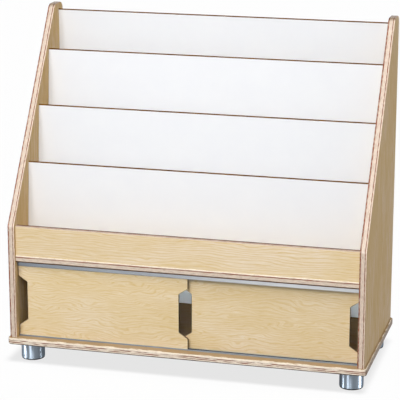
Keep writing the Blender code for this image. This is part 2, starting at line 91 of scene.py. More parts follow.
# The least share of a normal along a board's thickness that makes it a face. The white boards lean a little
PLY_FACE_LIMIT = 0.97
BOARD_FACE_LIMIT = 0.995

# The camera, fitted to the photograph, which is 400 by 400
CAMERA_PLACE = (1.130, -4.2665, 1.5954)
CAMERA_TURN = (math.radians(74.963), 0.0, math.radians(14.953))
CAMERA_LENS = 161.514
SENSOR = 36.0

# A veneer's tones, as 8-bit display values
FACE_TONES = {
    # Painted shade: the sides' tone is darker than the doors', for the shade on faces that look sideways
    "side": (207, 177, 128),
    # Painted shade: the base plate's top is darker than the other plywood, for the shade under the shelf and
    # doors
    "base_plate": (173, 147, 109),
    "cabinet_shelf": (222, 200, 160),
    "front_lip": (235, 211, 168),
    "ledge": (218, 196, 156),
    "door": (237, 213, 168),
    "dowel": (206, 168, 126),
}

# Where each piece's grain starts, so that no two boards of a kind show the same figure
SHIFTS = {
    "side_left": 4.0,
    "side_right": 5.0,
    "base_plate": 2.0,
    "cabinet_shelf": 5.0,
    "front_lip": 7.0,
    "ledge_2": 9.0,
    "ledge_3": 10.0,
    "ledge_4": 11.0,
    "door_left": 11.0,
    "door_right": 14.0,
    "dowel": 3.1,
}

# A veneer's figure: how far red, green and blue turn with its spread, and what each part adds to its tone,
# which runs from golden to creamy
TONE_TURN = (0.30, 0.49, 1.06)
TONE_START = 0.29
PATCH_SHARE = 0.20
LINE_SHARE = -0.125
DASH_SHARE = 0.22
FIBRE_SHARE = 0.06
FINER_LINES_TO_A_RING = 2.6
FINER_LINE_SHARE = 0.5
RINGS_TO_A_METRE = 150
SIDE_RINGS_TO_A_METRE = 45

# Tints on cut edges that look along the face veneer's grain: partly the darker end grain, partly painted
# shade on the sides' tops, the base's ends and the doors' ends
NO_TINT = (1.0, 1.0, 1.0, 1.0)
SIDE_END_GRAIN_AND_SHADE = (0.42, 0.36, 0.29, 1.0)
BASE_END_GRAIN_AND_SHADE = (0.39, 0.325, 0.265, 1.0)
DOOR_END_GRAIN_AND_SHADE = (0.34, 0.30, 0.26, 1.0)

# The stage: what the floor throws back at the object, what it shows of the lamp overhead, and its own glow
FLOOR_HALF = 12.0
FLOOR_BOUNCE = (0.11, 0.11, 0.11, 1.0)
FLOOR_SHOWN = (0.06, 0.06, 0.06, 1.0)
FLOOR_GLOW = 0.78
DOME_SIDE = (0.34, 0.35, 0.365, 1.0)
DOME_TOP = (0.12, 0.125, 0.135, 1.0)
BACKDROP = (1.0, 1.0, 1.0, 1.0)

# Sockets of a Mix node that mixes colours
MIX_FACTOR, MIX_FIRST, MIX_SECOND, MIX_RESULT = 0, 6, 7, 2


def srgb(red, green, blue):
    """A linear colour from 8-bit display values, by the sRGB curve."""
    linear = []
    for value in (red, green, blue):
        share = value / 255
        linear.append(share / 12.92 if share <= 0.04045 else ((share + 0.055) / 1.055) ** 2.4)
    return (*linear, 1.0)


def bands(*layers):
    """Ramp stops from (colour, start, end) layers, which run into each other between their ends."""
    stops = []
    for colour, start, end in layers:
        stops += [(start, colour), (end, colour)]
    return stops


RED_LINE = srgb(146, 82, 54)
# Dark brown veneer lines; at the bottom of the base and the shelf and in the doors' edges, also painted shade
DARK_LINE_AND_SHADE = srgb(98, 72, 52)
# Deep brown: partly a veneer, partly painted shade in the gap behind the lip
DEEP_LINE_AND_SHADE = srgb(88, 50, 14)
PALE_CORE = srgb(226, 208, 191)
LIGHT_LAYER = srgb(240, 222, 200)
# A painted highlight: the cream band on the top rounding of the shelf's and ledges' front edges
PAINTED_HIGHLIGHT_LAYER = srgb(248, 236, 216)
WHITE_LAYER = srgb(253, 240, 221)
# Brown door plies: partly their own colour, partly painted shade in the gap between the doors
BROWN_LAYER_AND_SHADE = srgb(128, 100, 76)
# Painted shade: the base's top veneer in the same shaded tan as its face
SHADED_TAN_LAYER = srgb(172, 142, 101)

# The veneers in each board's thickness, from its low side to its high side. Some bands carry painted shade or
# a painted highlight, as marked
SIDE_LAYERS = bands(
    (RED_LINE, 0.00, 0.19),
    (PALE_CORE, 0.25, 0.68),
    (RED_LINE, 0.72, 0.80),
    (LIGHT_LAYER, 0.85, 0.94),
    (RED_LINE, 0.98, 1.00),
)
# The dark band at the bottom is partly painted shade on the underside rounding
BASE_LAYERS = bands(
    (DARK_LINE_AND_SHADE, 0.00, 0.15),
    (WHITE_LAYER, 0.18, 0.29),
    (RED_LINE, 0.32, 0.42),
    (WHITE_LAYER, 0.45, 0.52),
    (RED_LINE, 0.55, 0.65),
    (WHITE_LAYER, 0.68, 0.93),
    (SHADED_TAN_LAYER, 0.95, 1.00),
)
# The deep brown back half is partly painted shade in the gap behind the lip
LIP_LAYERS = bands(
    (PALE_CORE, 0.00, 0.07),
    (RED_LINE, 0.12, 0.22),
    (PALE_CORE, 0.28, 0.40),
    (RED_LINE, 0.46, 0.46),
    (DEEP_LINE_AND_SHADE, 0.54, 1.00),
)
# The top band is a painted highlight; the dark bottom band is partly painted shade on the underside rounding
SHELF_LAYERS = bands(
    (DARK_LINE_AND_SHADE, 0.00, 0.18),
    (PALE_CORE, 0.24, 0.66),
    (RED_LINE, 0.70, 0.80),
    (PAINTED_HIGHLIGHT_LAYER, 0.84, 1.00),
)
# The doors' edges are darkened: partly their own dark plies, partly painted shade in the gap between the
# doors
DOOR_LAYERS = bands(
    (BROWN_LAYER_AND_SHADE, 0.00, 0.14),
    (DARK_LINE_AND_SHADE, 0.18, 0.36),
    (BROWN_LAYER_AND_SHADE, 0.40, 0.58),
    (DARK_LINE_AND_SHADE, 0.62, 0.80),
    (BROWN_LAYER_AND_SHADE, 0.84, 1.00),
)


class Paint:
    """A material being made. Most calls add a node and return the socket that carries its result."""

    def __init__(self, name):
        self.material = bpy.data.materials.new(name)
        self.material.use_nodes = True
        self.tree = self.material.node_tree
        self.surface = self.tree.nodes["Principled BSDF"]
        self.place = self.add("TexCoord").outputs["Object"]

    def add(self, kind, **settings):
        node = self.tree.nodes.new("ShaderNode" + kind)
        for setting, value in settings.items():
            setattr(node, setting, value)
        return node

    def feed(self, socket, value):
        if isinstance(value, bpy.types.NodeSocket):
            self.tree.links.new(value, socket)
        else:
            socket.default_value = value

    def math(self, operation, *values):
        node = self.add("Math", operation=operation)
        for socket, value in zip(node.inputs, values):
            self.feed(socket, value)
        return node.outputs[0]

    def axis(self, index):
        node = self.add("SeparateXYZ")
        self.feed(node.inputs[0], self.place)
        return node.outputs[index]

    def facing(self, axis):
        """How far the surface looks along an axis, either way: 1 where it is square to it."""
        node = self.add("SeparateXYZ")
        self.feed(node.inputs[0], self.add("TexCoord").outputs["Normal"])
        return self.math("ABSOLUTE", node.outputs[axis])

    def scaled(self, scale, shift):
        """Object coordinates, scaled axis by axis and moved by a shift."""
        node = self.add("Mapping")
        self.feed(node.inputs["Vector"], self.place)
        node.inputs["Scale"].default_value = scale
        node.inputs["Location"].default_value = (shift, shift, shift)
        return node.outputs["Vector"]

    def squeeze(self, along, share, shift=0.0):
        """Object coordinates with one axis squeezed, so that what is drawn on them runs along that axis."""
        return self.scaled([share if axis == along else 1.0 for axis in (X, Y, Z)], shift)

    def in_veneers(self, across, share, shift):
        """Object coordinates squeezed on the two axes that a stack of veneers lies in, but not across it."""
        return self.scaled([1.0 if axis == across else share for axis in (X, Y, Z)], shift)

    def noise(self, vector, scale, detail=2.0, roughness=0.5, distortion=0.0):
        node = self.add("TexNoise")
        self.feed(node.inputs["Vector"], vector)
        node.inputs["Scale"].default_value = scale
        node.inputs["Detail"].default_value = detail
        node.inputs["Roughness"].default_value = roughness
        node.inputs["Distortion"].default_value = distortion
        return node.outputs["Fac"]

    def thin_lines(self, phase):
        """1 on thin lines where a phase in radians comes round, and about 0 between them."""
        return self.math("POWER", self.math("MULTIPLY_ADD", self.math("SINE", phase), 0.5, 0.5), 3.0)

    def ramp(self, factor, stops):
        node = self.add("ValToRGB")
        self.feed(node.inputs["Fac"], factor)
        elements = node.color_ramp.elements
        while len(elements) < len(stops):
            elements.new(1.0)
        for element, (position, colour) in zip(elements, stops):
            element.position = position
            element.color = colour
        return node.outputs["Color"]

    def mix(self, factor, first, second, blend="MIX"):
        node = self.add("Mix", data_type="RGBA", blend_type=blend)
        self.feed(node.inputs[MIX_FACTOR], factor)
        self.feed(node.inputs[MIX_FIRST], first)
        self.feed(node.inputs[MIX_SECOND], second)
        return node.outputs[MIX_RESULT]

    def span(self, factor, low, high):
        """Maps 0..1 onto low..high."""
        return self.math("MULTIPLY_ADD", factor, high - low, low)

    def bump(self, height, depth):
        node = self.add("Bump")
        node.inputs["Distance"].default_value = depth
        self.feed(node.inputs["Height"], height)
        self.feed(self.surface.inputs["Normal"], node.outputs["Normal"])

    def colour(self, value):
        self.feed(self.surface.inputs["Base Color"], value)

    def roughness(self, value):
        self.feed(self.surface.inputs["Roughness"], value)

    def fixed(self, socket, value):
        """Sets what is the same all over the surface on the shader's own socket."""
        self.surface.inputs[socket].default_value = value


def tone_stops(tone, spread):
    """Ramp stops from a more golden shade of a tone to a creamier one."""
    stops = []
    for place, turn in ((0.34, -spread), (0.5, 0.0), (0.66, spread)):
        shade = [value + share * turn for value, share in zip(tone, TONE_TURN)]
        stops.append((place, srgb(*shade)))
    return stops


def grain(paint, along, across, tone, spread, shift, figure, rings):
    """Colour and fibres of a clear-lacquered veneer, with its grain along an axis and rings across another.

    The growth rings are lines of equal height on a wavy field, so many to a metre. figure says how much they
    wander and close into eyes.
    """
    patch = paint.noise(paint.squeeze(along, 0.35, shift), scale=11.0, distortion=0.6)
    field = paint.noise(paint.squeeze(along, 0.30, shift), scale=24.0, detail=2.5)
    wander = paint.math("MULTIPLY", field, figure)
    phase = paint.math("MULTIPLY_ADD", paint.axis(across), 2 * math.pi * rings, wander)
    ring = paint.thin_lines(phase)
    finer = paint.thin_lines(paint.math("MULTIPLY", phase, FINER_LINES_TO_A_RING))
    lines = paint.math("MULTIPLY_ADD", finer, FINER_LINE_SHARE, ring)
    dash = paint.noise(paint.squeeze(along, 0.06, shift), scale=560.0, detail=3.0, roughness=0.7)
    fibre = paint.noise(paint.squeeze(along, 0.02, shift), scale=900.0, roughness=0.6)
    value = paint.math("MULTIPLY_ADD", patch, PATCH_SHARE, TONE_START)
    value = paint.math("MULTIPLY_ADD", paint.math("MULTIPLY", lines, patch), LINE_SHARE, value)
    value = paint.math("MULTIPLY_ADD", dash, DASH_SHARE, value)
    value = paint.math("MULTIPLY_ADD", fibre, FIBRE_SHARE, value)
    return paint.ramp(value, tone_stops(tone, spread)), fibre


def ply_face(name, along, across, tone, shift, spread=58, figure=34.0, rings=RINGS_TO_A_METRE):
    """The face veneer of a plywood board, with its grain along an axis."""
    paint = Paint(name)
    face, fibre = grain(paint, along, across, tone, spread, shift, figure, rings)
    paint.colour(face)
    paint.roughness(paint.span(fibre, 0.46, 0.60))
    paint.fixed("Specular IOR Level", 0.04)
    paint.bump(fibre, 0.00006)
    return paint.material


def ply_edge(name, across, box, layers, shift, wave=0.05, dash=0.11, breaks=0.4, rim=0.0, pale=LIGHT_LAYER,
             gloss=0.10, grain_axis=Z, end_grain_and_shade=NO_TINT):
    """The cut edge of a plywood board: veneers stacked along an axis, under clear lacquer.

    layers are ramp stops over the depth through the board, from its low side to its high side. Inside the
    board they waver. Glue lines above rim, a share of the depth, break into dashes: dash is a dash's height
    over its length, breaks how far they open, and pale what shows there. end_grain_and_shade darkens the
    parts that look along the face veneer's grain: partly end grain, where its fibres are cut across, partly
    painted shade.
    """
    paint = Paint(name)
    low = box[0][across]
    thickness = box[1][across] - low
    depth = paint.math("DIVIDE", paint.math("SUBTRACT", paint.axis(across), low), thickness)
    inside = paint.math("MULTIPLY", depth, paint.math("SUBTRACT", 1.0, depth))
    swell = paint.noise(paint.squeeze(across, 0.2, shift), scale=22.0, detail=3.0, roughness=0.6)
    sway = paint.math("SUBTRACT", swell, 0.5)
    wavy = paint.math("MULTIPLY_ADD", paint.math("MULTIPLY", sway, inside), 4 * wave, depth)
    edge = paint.ramp(wavy, layers)
    breaking = paint.noise(paint.in_veneers(across, dash, shift), scale=300.0)
    gap = paint.ramp(breaking, [(0.46, (0, 0, 0, 1)), (0.60, (breaks, breaks, breaks, 1))])
    gap = paint.math("MULTIPLY", gap, paint.math("GREATER_THAN", wavy, rim))
    edge = paint.mix(gap, edge, pale)
    pores = paint.noise(paint.in_veneers(across, 0.10, shift), scale=700.0, detail=3.0, roughness=0.7)
    shade = paint.ramp(pores, [(0.34, (0.66, 0.58, 0.52, 1)), (0.52, NO_TINT)])
    edge = paint.mix(0.8, edge, shade, "MULTIPLY")
    # Painted shade, partly end grain: darker where the surface looks along the grain axis
    ends = paint.ramp(paint.facing(grain_axis), [(0.60, NO_TINT), (0.92, end_grain_and_shade)])
    paint.colour(paint.mix(1.0, edge, ends, "MULTIPLY"))
    paint.roughness(paint.span(pores, 0.22, 0.34))
    paint.fixed("Specular IOR Level", gloss)
    paint.bump(pores, 0.00005)
    return paint.material


def white_board(name):
    paint = Paint(name)
    mottle = paint.noise(paint.place, scale=14.0, detail=3.0, roughness=0.6)
    paint.colour(paint.ramp(mottle, [(0.3, srgb(235, 236, 239)), (0.7, srgb(237, 238, 240))]))
    peel = paint.noise(paint.place, scale=520.0, detail=1.0, roughness=0.4)
    paint.roughness(paint.span(peel, 0.36, 0.46))
    paint.fixed("Specular IOR Level", 0.2)
    paint.bump(peel, 0.00003)
    return paint.material


def board_edge(name):
    paint = Paint(name)
    fibre = paint.noise(paint.squeeze(X, 0.15), scale=420.0, detail=3.0, roughness=0.65)
    stops = [(0.32, srgb(80, 47, 8)), (0.5, srgb(106, 66, 12)), (0.7, srgb(130, 89, 26))]
    paint.colour(paint.ramp(fibre, stops))
    paint.roughness(paint.span(fibre, 0.65, 0.85))
    paint.fixed("Specular IOR Level", 0.05)
    paint.bump(fibre, 0.0001)
    return paint.material


def brushed_metal(name, stops, axis, box, roughness, anisotropy=0.0, turn=0.0, grazing=NO_TINT):
    """Metal with fine brush lines along an axis.

    stops colour it along that axis, from end to end of a box, and grazing tints what it reflects at a grazing
    angle.
    """
    paint = Paint(name)
    low = box[0][axis]
    length = box[1][axis] - low
    share = paint.math("DIVIDE", paint.math("SUBTRACT", paint.axis(axis), low), length)
    line = paint.noise(paint.squeeze(axis, 0.01), scale=2400.0, roughness=0.6)
    shade = paint.ramp(line, [(0.3, (0.86, 0.86, 0.87, 1)), (0.7, NO_TINT)])
    paint.colour(paint.mix(1.0, paint.ramp(share, stops), shade, "MULTIPLY"))
    paint.roughness(paint.span(line, *roughness))
    paint.fixed("Metallic", 1.0)
    paint.fixed("Anisotropic", anisotropy)
    paint.fixed("Anisotropic Rotation", turn)
    paint.fixed("Specular Tint", grazing)
    paint.bump(line, 0.00001)
    return paint.material


def shaded_channel_metal(name):
    """Aluminium inside the channels, darkened as painted shade in their recesses."""
    paint = Paint(name)
    smear = paint.noise(paint.squeeze(X, 0.05), scale=300.0, detail=3.0, roughness=0.6)
    paint.colour(paint.ramp(smear, [(0.3, srgb(48, 52, 58)), (0.7, srgb(76, 81, 88))]))
    paint.roughness(paint.span(smear, 0.5, 0.7))
    paint.fixed("Metallic", 1.0)
    return paint.material


def rubber(name):
    paint = Paint(name)
    dust = paint.noise(paint.place, scale=260.0, detail=4.0, roughness=0.7)
    paint.colour(paint.ramp(dust, [(0.35, srgb(9, 9, 10)), (0.7, srgb(24, 23, 23))]))
    paint.roughness(paint.span(dust, 0.55, 0.8))
    paint.fixed("Specular IOR Level", 0.1)
    paint.bump(dust, 0.00005)
    return paint.material


def zinc(name):
    paint = Paint(name)
    cloud = paint.noise(paint.place, scale=700.0, detail=3.0, roughness=0.6)
    paint.colour(paint.ramp(cloud, [(0.3, srgb(150, 152, 158)), (0.7, srgb(192, 194, 198))]))
    paint.roughness(paint.span(cloud, 0.28, 0.5))
    paint.fixed("Metallic", 1.0)
    return paint.material


def dowel_wood(name):
    paint = Paint(name)
    face, fibre = grain(paint, Z, X, FACE_TONES["dowel"], spread=16, shift=SHIFTS["dowel"], figure=4.0,
                        rings=RINGS_TO_A_METRE)
    paint.colour(face)
    paint.roughness(paint.span(fibre, 0.5, 0.7))
    paint.bump(fibre, 0.00008)
    return paint.material


def rounded_outline(corners):
    """Points of a closed outline from (a, b, radius) corners. A radius of 0 leaves the corner sharp."""
    points = []
    for index, (a, b, radius) in enumerate(corners):
        corner = Vector((a, b))
        if radius == 0:
            points.append(corner)
            continue
        before = (Vector(corners[index - 1][:2]) - corner).normalized()
        after = (Vector(corners[(index + 1) % len(corners)][:2]) - corner).normalized()
        half_angle = before.angle(after) / 2
        centre = corner + (before + after).normalized() * (radius / math.sin(half_angle))
        start = corner + before * (radius / math.tan(half_angle)) - centre
        end = corner + after * (radius / math.tan(half_angle)) - centre
        turn = start.angle_signed(end)
        for step in range(ARC_STEPS + 1):
            points.append(centre + Matrix.Rotation(-turn * step / ARC_STEPS, 2) @ start)
    return points


def prism(outline, axis, low, high):
    """A closed solid: an outline in the two other axes, in their order, drawn out along an axis."""
    shape = bmesh.new()
    ends = []
    for level in (low, high):
        ring = []
        for a, b in outline:
            point = [a, b]
            point.insert(axis, level)
            ring.append(shape.verts.new(point))
        ends.append(ring)
        shape.faces.new(ring)
    count = len(outline)
    for index in range(count):
        after = (index + 1) % count
        shape.faces.new((ends[0][index], ends[0][after], ends[1][after], ends[1][index]))
    bmesh.ops.recalc_face_normals(shape, faces=shape.faces)
    return shape


def block(low, high):
    outline = [(low[Y], low[Z]), (high[Y], low[Z]), (high[Y], high[Z]), (low[Y], high[Z])]
    return prism(outline, X, low[X], high[X])


def turned(profile, centre):
    """A solid turned round a vertical axis from (radius, height) points that start and end on the axis."""
    shape = bmesh.new()
    rings = []
    for radius, height in profile:
        if radius == 0:
            rings.append([shape.verts.new((centre[X], centre[Y], height))])
            continue
        ring = []
        for step in range(FOOT_SEGMENTS):
            angle = 2 * math.pi * step / FOOT_SEGMENTS
            place = (centre[X] + radius * math.cos(angle), centre[Y] + radius * math.sin(angle), height)
            ring.append(shape.verts.new(place))
        rings.append(ring)
    for first, second in zip(rings, rings[1:]):
        for step in range(FOOT_SEGMENTS):
            corners = [ring[(step + shift) % len(ring)] for ring, shift in
                       ((first, 0), (first, 1), (second, 1), (second, 0))]
            shape.faces.new(dict.fromkeys(corners))
    bmesh.ops.recalc_face_normals(shape, faces=shape.faces)
    return shape


def arc(centre, radius, start, end):
    """Profile points on part of a turn, with angles in degrees."""
    points = []
    for step in range(FOOT_ARC_STEPS + 1):
        angle = math.radians(start + (end - start) * step / FOOT_ARC_STEPS)
        points.append((centre[0] + radius * math.cos(angle), centre[1] + radius * math.sin(angle)))
    return points


def cad_shape(node):
    """A CAD node's mesh as a shape, with its doubled points joined."""
    shape = bmesh.new()
    shape.from_mesh(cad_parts[node].data)
    bmesh.ops.remove_doubles(shape, verts=shape.verts, dist=MERGE_WITHIN)
    return shape


def cad_board(node):
    """A CAD board's shape, with whole flat faces in place of its triangles."""
    shape = cad_shape(node)
    bmesh.ops.dissolve_limit(shape, angle_limit=FLAT_WITHIN, verts=shape.verts, edges=shape.edges)
    return shape


def any_edge(edge):
    return True


def round_edges(shape, radius, wanted=any_edge, segments=EDGE_SEGMENTS):
    """Rounds the sharp edges for which the wanted test is true."""
    edges = []
    for edge in shape.edges:
        if edge.calc_face_angle(0.0) > ROUNDED_OVER and wanted(edge):
            edges.append(edge)
    bmesh.ops.bevel(
        shape,
        geom=edges,
        offset=radius,
        segments=segments,
        profile=0.5,
        affect="EDGES",
        clamp_overlap=True,
    )


def apply_modifiers(obj):
    graph = bpy.context.evaluated_depsgraph_get()
    mesh = bpy.data.meshes.new_from_object(obj.evaluated_get(graph))
    obj.modifiers.clear()
    obj.data = mesh


def cut_for(obj, nodes):
    """Cuts the seats of other CAD nodes into a piece, with the fit's gap all round them."""
    cutters = []
    for name in nodes:
        shape = cad_shape(name)
        shape.normal_update()
        moves = [(vert, vert.normal * FIT_GAP * vert.calc_shell_factor()) for vert in shape.verts]
        for vert, move in moves:
            vert.co += move
        mesh = bpy.data.meshes.new("seat_" + name)
        shape.to_mesh(mesh)
        shape.free()
        cutter = bpy.data.objects.new("seat_" + name, mesh)
        bpy.context.scene.collection.objects.link(cutter)
        cutters.append(cutter)
        boolean = obj.modifiers.new("seat", "BOOLEAN")
        boolean.operation = "DIFFERENCE"
        boolean.solver = "EXACT"
        boolean.object = cutter
    apply_modifiers(obj)
    for cutter in cutters:
        bpy.data.objects.remove(cutter)


def piece(node, shape, materials, body="frame", seats=(), pick=None):
    """Makes a finished object from a shape, in the place of a CAD node of the same form.

    pick gives the index of a polygon's material. Without it, all take the first.
    """
    mesh = bpy.data.meshes.new(node + "_fine")
    shape.to_mesh(mesh)
    shape.free()
    obj = bpy.data.objects.new(node + "_fine", mesh)
    bpy.context.scene.collection.objects.link(obj)
    if seats:
        cut_for(obj, seats)
    obj.data.materials.clear()
    for material in materials:
        obj.data.materials.append(material)
    for polygon in obj.data.polygons:
        polygon.material_index = pick(polygon) if pick else 0
    obj.data.shade_smooth()
    obj.data.set_sharp_from_angle(angle=SMOOTH_UNDER)
    weighted = obj.modifiers.new("flat faces", "WEIGHTED_NORMAL")
    weighted.keep_sharp = True
    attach(obj, body)
    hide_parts(node)
    return obj


def nodes_named(*starts):
    return [name for name in sorted(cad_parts) if name.startswith(starts)]


def face_across(axis):
    """Picks the second material for the faces that look along an axis, and the first for the rest."""
    return lambda polygon: int(abs(polygon.normal[axis]) > PLY_FACE_LIMIT)


def board_rim(polygon):
    """Picks the second material for a white board's edges, and the first for its faces."""
    return int(abs(polygon.normal.y) < BOARD_FACE_LIMIT)


def make_sides():
    boards = nodes_named("display_panel_", "ledge_") + ["cabinet_shelf", "back_panel"]
    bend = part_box("front_lip")[1].z + BEND_ABOVE_LIP
    made = []
    for side in ("left", "right"):
        node = "side_" + side
        low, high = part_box(node)
        outline = rounded_outline([
            (low.y, low.z, 0),
            (high.y, low.z, 0),
            (high.y, high.z, SIDE_TOP_RADIUS),
            (high.y - SIDE_TOP_WIDTH, high.z, SIDE_TOP_RADIUS),
            (low.y, bend, SIDE_BEND_RADIUS),
        ])
        shape = prism(outline, X, low.x, high.x)
        clear_of_base = low.z + PLY_EDGE_ROUND
        round_edges(shape, PLY_EDGE_ROUND, lambda edge: max(v.co.z for v in edge.verts) > clear_of_base)
        edge = ply_edge("ply_edge_" + node, X, (low, high), SIDE_LAYERS, SHIFTS[node], dash=0.35,
                        end_grain_and_shade=SIDE_END_GRAIN_AND_SHADE)
        face = ply_face("ply_face_" + node, Z, Y, FACE_TONES["side"], SHIFTS[node], spread=62, figure=17.0,
                        rings=SIDE_RINGS_TO_A_METRE)
        seats = boards + nodes_named("side_screw_" + side, "lip_end_dowel_" + side)
        made.append(piece(node, shape, [edge, face], seats=seats, pick=face_across(X)))
    return made


def make_base():
    node = "base_plate"
    low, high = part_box(node)
    outline = rounded_outline([
        (low.x, low.y, BASE_CORNER_RADIUS),
        (high.x, low.y, BASE_CORNER_RADIUS),
        (high.x, high.y, BASE_CORNER_RADIUS),
        (low.x, high.y, BASE_CORNER_RADIUS),
    ])
    shape = prism(outline, Z, low.z, high.z)
    round_edges(shape, BASE_EDGE_ROUND, segments=BOLD_EDGE_SEGMENTS)
    # rim keeps the dark bottom band, partly painted shade, whole
    edge = ply_edge("ply_edge_base", Z, (low, high), BASE_LAYERS, SHIFTS[node], wave=0.20, breaks=0.95,
                    rim=0.165, pale=WHITE_LAYER, gloss=0.02, grain_axis=X, end_grain_and_shade=BASE_END_GRAIN_AND_SHADE)
    face = ply_face("ply_face_base", X, Y, FACE_TONES[node], SHIFTS[node])
    seats = ["bottom_track"] + nodes_named("foot_stud_", "side_screw_", "bottom_track_screw_")
    return piece(node, shape, [edge, face], seats=seats, pick=face_across(Z))


def make_shelf():
    node = "cabinet_shelf"
    low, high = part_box(node)
    shape = block(low, high)
    round_edges(shape, PLY_EDGE_ROUND, lambda edge: all(v.co.y < low.y + FIT_GAP for v in edge.verts)
                and abs(edge.verts[0].co.z - edge.verts[1].co.z) < FIT_GAP)
    edge = ply_edge("ply_edge_shelf", Z, (low, high), SHELF_LAYERS, SHIFTS[node], wave=0.10, rim=0.2)
    face = ply_face("ply_face_shelf", X, Y, FACE_TONES[node], SHIFTS[node])
    seats = nodes_named("lip_dowel_", "top_track_screw_")
    piece(node, shape, [edge, face], seats=seats, pick=face_across(Z))


def make_lip():
    node = "front_lip"
    low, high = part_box(node)
    shape = block(low, high)
    round_edges(shape, PLY_EDGE_ROUND, lambda edge: all(v.co.z > high.z - FIT_GAP for v in edge.verts)
                and abs(edge.verts[0].co.y - edge.verts[1].co.y) < FIT_GAP)
    edge = ply_edge("ply_edge_lip", Y, (low, high), LIP_LAYERS, SHIFTS[node], wave=0.10, breaks=0.15,
                    gloss=0.02)
    face = ply_face("ply_face_lip", X, Z, FACE_TONES[node], SHIFTS[node])
    seats = nodes_named("lip_dowel_", "lip_end_dowel_")
    piece(node, shape, [edge, face], seats=seats, pick=face_across(Y))


def make_boards():
    """The white boards: three leaning display panels and the upright back. Their cut edges are raw."""
    white = white_board("white_board_face")
    raw = board_edge("white_board_raw_edge")
    for node in nodes_named("display_panel_", "back_panel"):
        shape = cad_board(node)
        round_edges(shape, BOARD_EDGE_ROUND, segments=BOLD_EDGE_SEGMENTS)
        piece(node, shape, [white, raw], pick=board_rim)


def make_ledges():
    for node in nodes_named("ledge_"):
        shape = cad_board(node)
        round_edges(shape, LEDGE_EDGE_ROUND, segments=SMALL_EDGE_SEGMENTS)
        edge = ply_edge("ply_edge_" + node, Z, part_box(node), SHELF_LAYERS, SHIFTS[node])
        face = ply_face("ply_face_" + node, X, Y, FACE_TONES["ledge"], SHIFTS[node])
        piece(node, shape, [edge, face], pick=face_across(Z))


def make_tracks():
    """The two double channels that the doors run in. Inside, their metal is darkened with painted shade."""
    # Painted reflection: each track's colour runs darker towards its left end
    painted_reflection_stops = {
        "top_track": [(0.0, srgb(104, 110, 116)), (0.45, srgb(128, 132, 136)), (0.8, srgb(168, 170, 172))],
        "bottom_track": [(0.0, srgb(128, 137, 147)), (1.0, srgb(150, 158, 167))],
    }
    # Painted shade: the faces inside the channels get a darker metal
    channel_shade = shaded_channel_metal("track_channel_painted_shade")
    made = []
    for node, stops in painted_reflection_stops.items():
        low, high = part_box(node)
        channel = (high.y - low.y - 3 * TRACK_WALL) / 2
        web, mouth = (high.z, low.z) if node == "top_track" else (low.z, high.z)
        inside = web + math.copysign(TRACK_WEB, mouth - web)
        corners = [(low.y, web), (high.y, web)]
        for index in range(3):
            outer = high.y - index * (channel + TRACK_WALL)
            inner = outer - TRACK_WALL
            corners += [(outer, mouth), (inner, mouth)]
            if index < 2:
                corners += [(inner, inside), (inner - channel, inside)]
        shape = prism(corners, X, low.x, high.x)
        round_edges(shape, TRACK_EDGE_ROUND, segments=SMALL_EDGE_SEGMENTS)
        bright = brushed_metal(node + "_aluminium", stops, X, (low, high), roughness=(0.30, 0.44))
        made.append(piece(
            node,
            shape,
            [bright, channel_shade],
            seats=nodes_named(node + "_screw_"),
            pick=lambda polygon: int(low.y + TRACK_WALL / 2 < polygon.center.y < high.y - TRACK_WALL / 2
                                     and abs(polygon.center.z - mouth) > TRACK_WALL / 4),
        ))
    return made


def make_doors():
    middle = (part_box("bottom_track")[1].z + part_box("top_track")[0].z) / 2
    notch_low = middle - NOTCH_OPENING / 2
    notch_high = middle + NOTCH_OPENING / 2
    made = []
    for node in ("door_left", "door_right"):
        low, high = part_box(node)
        right = [
            (high.x, low.z, 0),
            (high.x, notch_low, 0),
            (high.x - NOTCH_DEPTH, notch_low + NOTCH_SLANT, NOTCH_CORNER_RADIUS),
            (high.x - NOTCH_DEPTH, notch_high - NOTCH_SLANT, NOTCH_CORNER_RADIUS),
            (high.x, notch_high, 0),
            (high.x, high.z, 0),
        ]
        left = [(low.x + high.x - x, z, radius) for x, z, radius in reversed(right)]
        shape = prism(rounded_outline(right + left), Y, low.y, high.y)
        round_edges(shape, DOOR_EDGE_ROUND, segments=DOOR_EDGE_SEGMENTS)
        edge = ply_edge("ply_edge_" + node, Y, (low, high), DOOR_LAYERS, SHIFTS[node], breaks=0.1, gloss=0.02,
                        grain_axis=X, end_grain_and_shade=DOOR_END_GRAIN_AND_SHADE)
        face = ply_face("ply_face_" + node, X, Z, FACE_TONES["door"], SHIFTS[node], figure=70.0)
        made.append(piece(node, shape, [edge, face], body=node, pick=face_across(Y)))
    return made


